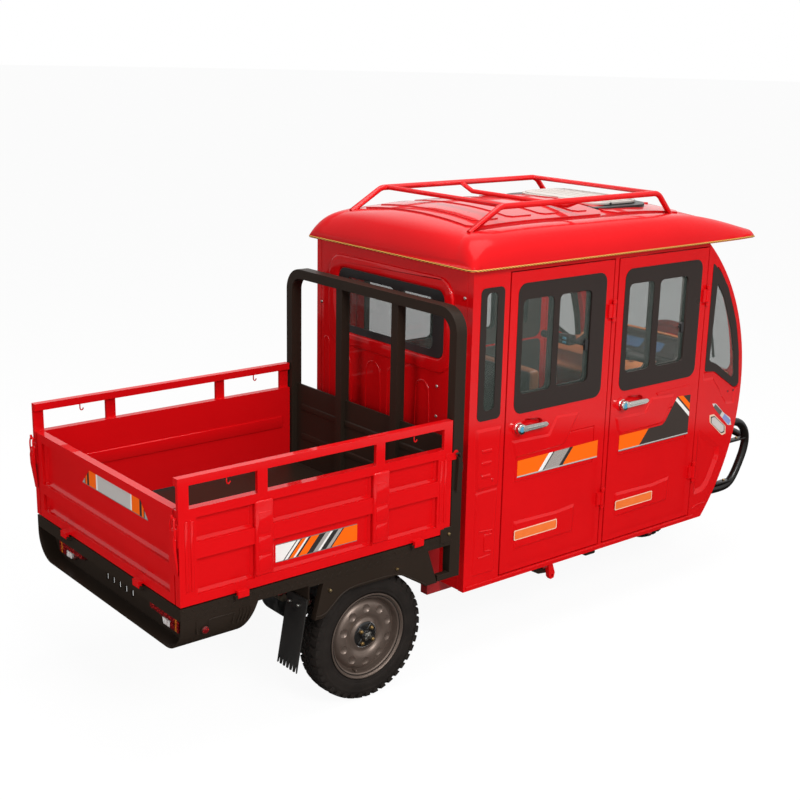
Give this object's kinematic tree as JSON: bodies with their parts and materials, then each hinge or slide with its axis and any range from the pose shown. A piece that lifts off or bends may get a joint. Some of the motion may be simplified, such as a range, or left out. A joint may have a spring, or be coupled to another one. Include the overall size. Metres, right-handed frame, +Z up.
{
  "type": "closed-cab cargo auto rickshaw",
  "caption": "Closed-cab cargo rickshaw with hinged doors, drop-side load bed, roof rack, rolling wheels and handlebar steering.",
  "frame": {"origin": "on the ground under the middle of the vehicle's length and width", "axes": "+X forward, +Y to the driver's left, +Z up"},
  "size_m": [3.2359, 1.138, 1.792],
  "materials": {
    "red_paint": "gloss",
    "frame_paint": "satin",
    "black_paint": "satin",
    "fork_paint": "gloss",
    "rim_paint": "satin",
    "axle_iron": "matte",
    "spring_steel": "satin",
    "roof_plastic": "gloss",
    "vent_plastic": "gloss",
    "red_lens": "gloss",
    "lamp_glass": "clear",
    "window_glass": "clear",
    "flap_rubber": "matte",
    "floor_mat": "matte",
    "dash_plastic": "satin",
    "seat_leather": "satin",
    "grip_plastic": "matte",
    "black_plastic": "gloss",
    "handle_chrome": "polished",
    "tyre": "matte"
  },
  "bodies": {
    "chassis": {"chassis_frame": "frame_paint", "rear_axle": "axle_iron", "leaf_springs": "spring_steel", "bed_floor": "black_paint", "head_guard": "black_paint", "rear_apron": "black_paint", "tail_lamps": "red_lens", "wheel_guards": "black_paint", "mud_flaps": "flap_rubber", "cab_floor": "floor_mat", "battery_box": "black_paint", "cab_rear_wall": "red_paint", "cab_side_right": "red_paint", "cab_side_left": "red_paint", "cab_nose": "red_paint", "windscreen": "window_glass", "fixed_glass": "window_glass", "roof_shell": "roof_plastic", "roof_vent": "vent_plastic", "roof_rack": "red_paint", "head_lamps": "lamp_glass", "bull_bar": "black_paint", "dashboard": "dash_plastic", "driver_seat": "seat_leather", "rear_bench": "seat_leather"},
    "steering": {"fork": "fork_paint", "handlebar": "grip_plastic", "front_mudguard": "black_plastic"},
    "front_wheel": {"rim_front": "rim_paint", "tyre_front": "tyre"},
    "rear_wheel_right": {"rim_rear_right": "rim_paint", "tyre_rear_right": "tyre"},
    "rear_wheel_left": {"rim_rear_left": "rim_paint", "tyre_rear_left": "tyre"},
    "side_board_right": {"side_board_right": "red_paint"},
    "side_board_left": {"side_board_left": "red_paint"},
    "tailgate": {"tailgate": "red_paint"},
    "door_rear_right": {"door_rear_right": "red_paint", "door_rear_window_right": "window_glass", "door_rear_handle_right": "handle_chrome"},
    "door_rear_left": {"door_rear_left": "red_paint", "door_rear_window_left": "window_glass", "door_rear_handle_left": "handle_chrome"},
    "door_front_right": {"door_front_right": "red_paint", "door_front_window_right": "window_glass", "door_front_handle_right": "handle_chrome"},
    "door_front_left": {"door_front_left": "red_paint", "door_front_window_left": "window_glass", "door_front_handle_left": "handle_chrome"}
  },
  "joints": [
    {"name": "rear_wheel_right_spin", "type": "hinge", "parent": "chassis", "child": "rear_wheel_right", "pos_m": [-0.7935, -0.466, 0.25], "axis": [0, 1, 0], "continuous": true},
    {"name": "rear_wheel_left_spin", "type": "hinge", "parent": "chassis", "child": "rear_wheel_left", "pos_m": [-0.7935, 0.466, 0.25], "axis": [0, 1, 0], "continuous": true},
    {"name": "steering_turn", "type": "hinge", "parent": "chassis", "child": "steering", "pos_m": [1.412, 0, 0], "axis": [-0.4067, 0, 0.9135], "range_deg": [-35, 35]},
    {"name": "front_wheel_spin", "type": "hinge", "parent": "steering", "child": "front_wheel", "pos_m": [1.352, 0, 0.25], "axis": [0, 1, 0], "continuous": true},
    {"name": "side_board_right_drop", "type": "hinge", "parent": "chassis", "child": "side_board_right", "pos_m": [-1.018, -0.561, 0.583], "axis": [1, 0, 0], "range_deg": [0, 180]},
    {"name": "side_board_left_drop", "type": "hinge", "parent": "chassis", "child": "side_board_left", "pos_m": [-1.018, 0.561, 0.583], "axis": [-1, 0, 0], "range_deg": [0, 180]},
    {"name": "tailgate_drop", "type": "hinge", "parent": "chassis", "child": "tailgate", "pos_m": [-1.61, 0, 0.583], "axis": [0, -1, 0], "range_deg": [0, 180]},
    {"name": "door_rear_right_swing", "type": "hinge", "parent": "chassis", "child": "door_rear_right", "pos_m": [0.4605, -0.506, 0.9], "axis": [0, 0, 1], "range_deg": [0, 70]},
    {"name": "door_rear_left_swing", "type": "hinge", "parent": "chassis", "child": "door_rear_left", "pos_m": [0.4605, 0.506, 0.9], "axis": [0, 0, -1], "range_deg": [0, 70]},
    {"name": "door_front_right_swing", "type": "hinge", "parent": "chassis", "child": "door_front_right", "pos_m": [1.0635, -0.506, 0.9], "axis": [0, 0, 1], "range_deg": [0, 70]},
    {"name": "door_front_left_swing", "type": "hinge", "parent": "chassis", "child": "door_front_left", "pos_m": [1.0635, 0.506, 0.9], "axis": [0, 0, -1], "range_deg": [0, 70]}
  ]
}
